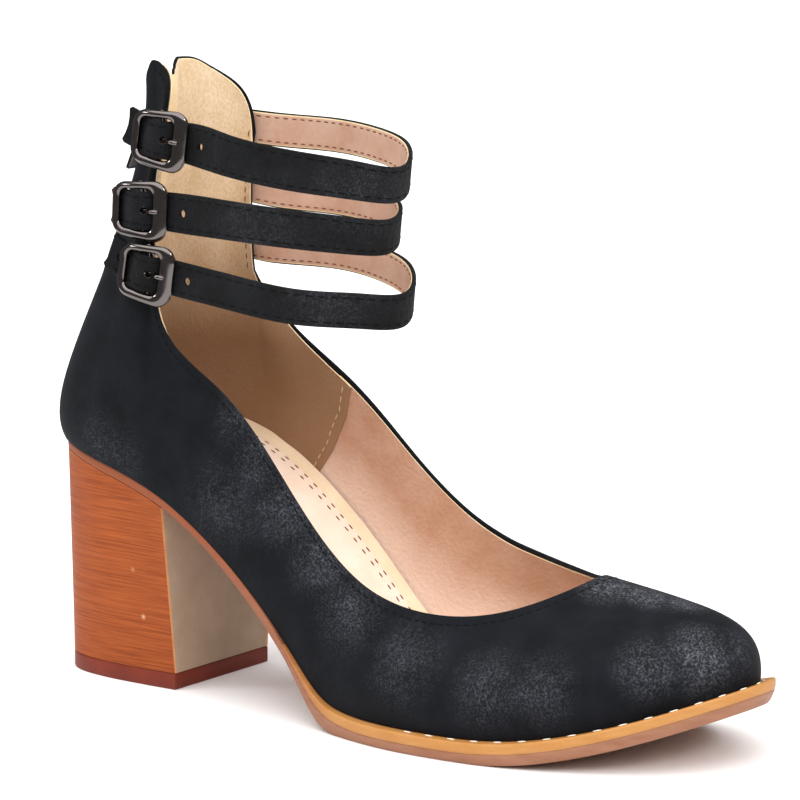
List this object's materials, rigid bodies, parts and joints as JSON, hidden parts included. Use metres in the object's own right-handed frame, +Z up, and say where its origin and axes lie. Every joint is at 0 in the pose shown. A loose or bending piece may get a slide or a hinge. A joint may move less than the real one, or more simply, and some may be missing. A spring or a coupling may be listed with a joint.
{
  "type": "high heel",
  "caption": "Right-foot ankle-strap court shoe with block heel, low throat, high split back cuff, buckled straps and back zip.",
  "frame": {"origin": "on the floor, under the middle of the shoe's bounding box", "axes": "+X from heel to toe, +Y to the inner side of the foot, +Z up"},
  "size_m": [0.2379, 0.084, 0.1848],
  "materials": {
    "suede": "black suede, rubbed grey in patches",
    "strap_leather": "black nubuck with a pink-tan leather lining",
    "sock_leather": "matt cream-pink lining leather",
    "stacked_heel": "stacked leather layers, waxed orange-brown",
    "lift_rubber": "dark red-brown rubber",
    "sole_edge": "pink-tan sole leather with a burnished edge",
    "midsole_edge": "yellow-tan sole leather with a burnished edge",
    "gunmetal": "polished dark nickel plating",
    "zip_teeth": "dark metal zip teeth on black tape"
  },
  "bodies": {
    "shoe": {"outsole": "sole_edge", "midsole": "midsole_edge", "heel_block": "stacked_heel", "top_lift": "lift_rubber", "upper": "suede", "insole": "sock_leather", "strap_top": "strap_leather", "strap_middle": "strap_leather", "strap_bottom": "strap_leather", "chape_top": "strap_leather", "chape_middle": "strap_leather", "chape_bottom": "strap_leather", "buckle_top": "gunmetal", "buckle_middle": "gunmetal", "buckle_bottom": "gunmetal", "prong_top": "gunmetal", "prong_middle": "gunmetal", "prong_bottom": "gunmetal", "zip_chain": "zip_teeth", "zip_slider": "gunmetal"},
    "pull_tab": {"zip_pull": "gunmetal"}
  },
  "joints": [
    {"name": "pull_swing", "type": "hinge", "parent": "shoe", "child": "pull_tab", "pos_m": [-0.09207, 0.00235, 0.1665], "axis": [0, 1, 0], "range_deg": [-8, 150]}
  ]
}
